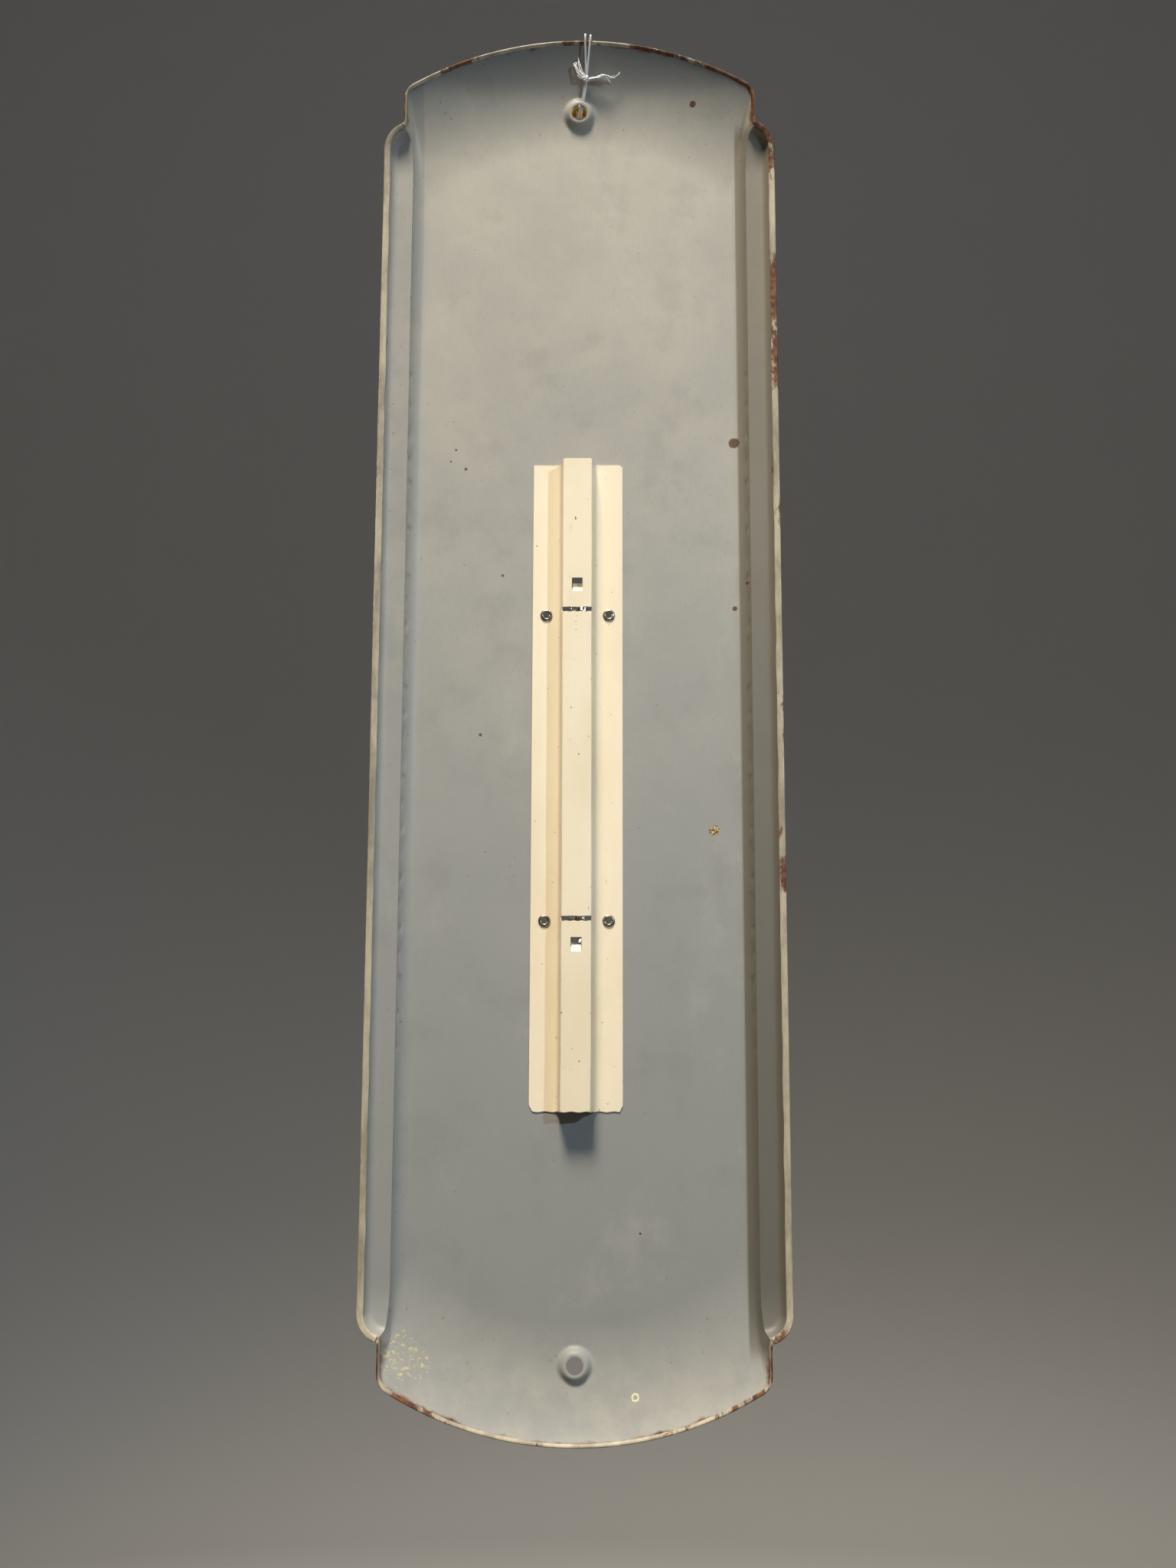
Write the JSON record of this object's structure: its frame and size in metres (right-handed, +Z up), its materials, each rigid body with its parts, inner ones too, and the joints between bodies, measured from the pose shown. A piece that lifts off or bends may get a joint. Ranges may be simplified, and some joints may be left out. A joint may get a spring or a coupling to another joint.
{
  "type": "wall thermometer",
  "caption": "Pressed-steel wall thermometer with arched ends and stepped wings, a channel carrier behind a window, a spirit tube and a cord loop for hanging.",
  "frame": {"origin": "centre of the top hanging hole, in the plane of the flat panel's back face", "axes": "+Z up, -Y out of the dial towards the reader, +Y towards the wall, +X to the reader's right"},
  "size_m": [0.1982, 0.02, 0.6888],
  "materials": {
    "face_paint": "aged grey paint on the back, cream enamel on the dial side, rust at the rim",
    "cream_paint": "aged cream paint, satin",
    "glass": "clear drawn tube",
    "spirit": "red dyed spirit",
    "clip_metal": "tinned spring strip",
    "brass": "bright brass",
    "eyelet_metal": "dark bronzed steel",
    "cord": "white twisted string, frayed ends"
  },
  "bodies": {
    "thermometer": {"bulb_spirit": "spirit", "carrier_eyelet_lower_left": "eyelet_metal", "carrier_eyelet_lower_right": "eyelet_metal", "carrier_eyelet_upper_left": "eyelet_metal", "carrier_eyelet_upper_right": "eyelet_metal", "cord_knot": "cord", "cord_tail_long": "cord", "cord_tail_short": "cord", "face_body": "face_paint", "glass_tube": "glass", "hanging_cord": "cord", "hanging_grommet": "brass", "lower_tube_clip": "clip_metal", "spirit_thread": "spirit", "tube_carrier": "cream_paint", "upper_tube_clip": "clip_metal"},
    "column_top": {"spirit_level": "spirit"}
  },
  "joints": [
    {"name": "spirit_travel", "type": "slide", "parent": "thermometer", "child": "column_top", "axis": [0, 0, 1], "range_m": [-0.0892, 0.0413], "deforming": ["spirit_thread"]}
  ]
}
